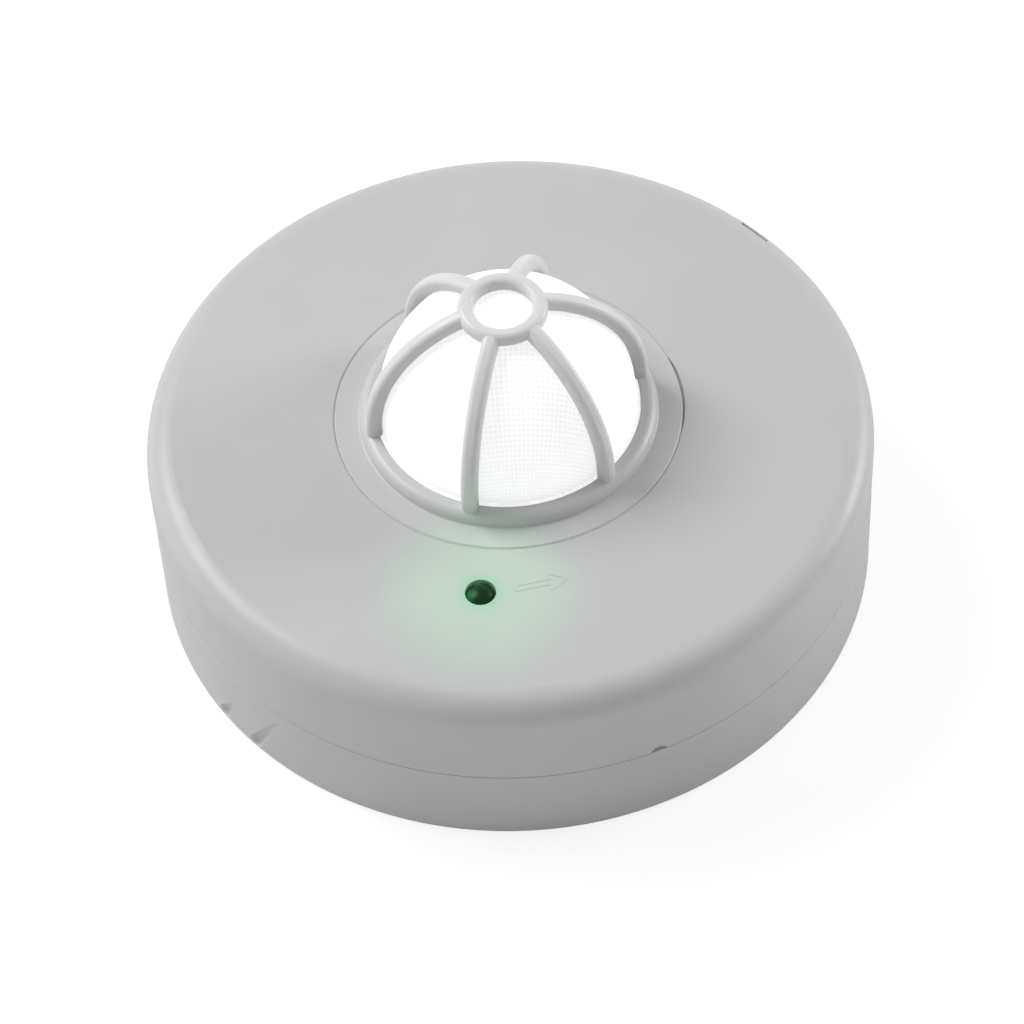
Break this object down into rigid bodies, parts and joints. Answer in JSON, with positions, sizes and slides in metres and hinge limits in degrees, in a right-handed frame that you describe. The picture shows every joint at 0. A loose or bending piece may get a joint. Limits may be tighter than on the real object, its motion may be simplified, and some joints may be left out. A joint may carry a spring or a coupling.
{
  "type": "heat detector",
  "caption": "Ceiling heat detector: round drum cover with a ribbed dome cage over its sensor and a green status lamp, twisting onto a terminal base.",
  "frame": {"origin": "centre of the mounting base's back face, which lies on the ceiling", "axes": "+Z from the ceiling out through the sensor cage; -Y is the side with the status lamp"},
  "size_m": [0.1116, 0.1116, 0.0541],
  "materials": {
    "housing": "satin moulded ABS, light grey-white",
    "base": "satin moulded ABS, light grey-white",
    "cage": "satin moulded ABS, light grey-white",
    "screen": "fine white polymer mesh",
    "retainer": "moulded acetal",
    "chassis": "moulded ABS",
    "seal": "soft black rubber",
    "spring_brass": "tin-flashed spring brass",
    "insert_brass": "turned brass",
    "zinc_steel": "zinc-plated steel",
    "stud": "turned brass, bright",
    "board": "green solder mask over fibreglass",
    "post": "moulded nylon",
    "wire": "tinned copper wire",
    "bead": "epoxy-coated bead",
    "reference_bead": "epoxy-coated bead",
    "chip": "moulded black epoxy",
    "pins": "tinned lead frame",
    "can": "drawn aluminium can",
    "resistor": "ceramic chip with dark glaze",
    "capacitor": "ceramic chip",
    "lamp": "green tinted epoxy",
    "lens": "clear green acrylic"
  },
  "bodies": {
    "base": {"mounting_base": "base", "terminal_inserts": "insert_brass", "contact_blades": "spring_brass", "clamp_washers": "zinc_steel", "terminal_screws": "zinc_steel"},
    "seal": {"seal_ring": "seal"},
    "head": {"cover": "housing", "cage": "cage", "thermal_screen": "screen", "screen_retaining_ring": "retainer", "chassis": "chassis", "chassis_screws": "zinc_steel", "head_contacts": "stud", "circuit_board": "board", "pcb_screws": "zinc_steel", "sensor_post": "post", "thermistor_leads": "wire", "thermistor_bead": "bead", "reference_thermistor": "reference_bead", "reference_thermistor_leads": "wire", "microcontroller": "chip", "microcontroller_pins": "pins", "electrolytic_capacitors": "can", "bridge_rectifier": "chip", "rectifier_pins": "pins", "output_transistor": "chip", "transistor_leads": "pins", "chip_resistors": "resistor", "chip_capacitors": "capacitor", "status_lamp": "lamp", "status_lamp_leads": "wire", "light_pipe": "lens"}
  },
  "joints": [
    {"name": "head_twist", "type": "hinge", "parent": "base", "child": "seal", "pos_m": [0, 0, 0], "axis": [0, 0, 1], "range_deg": [-18, 0]},
    {"name": "head_lift", "type": "slide", "parent": "seal", "child": "head", "axis": [0, 0, 1], "range_m": [0, 0.06]}
  ]
}
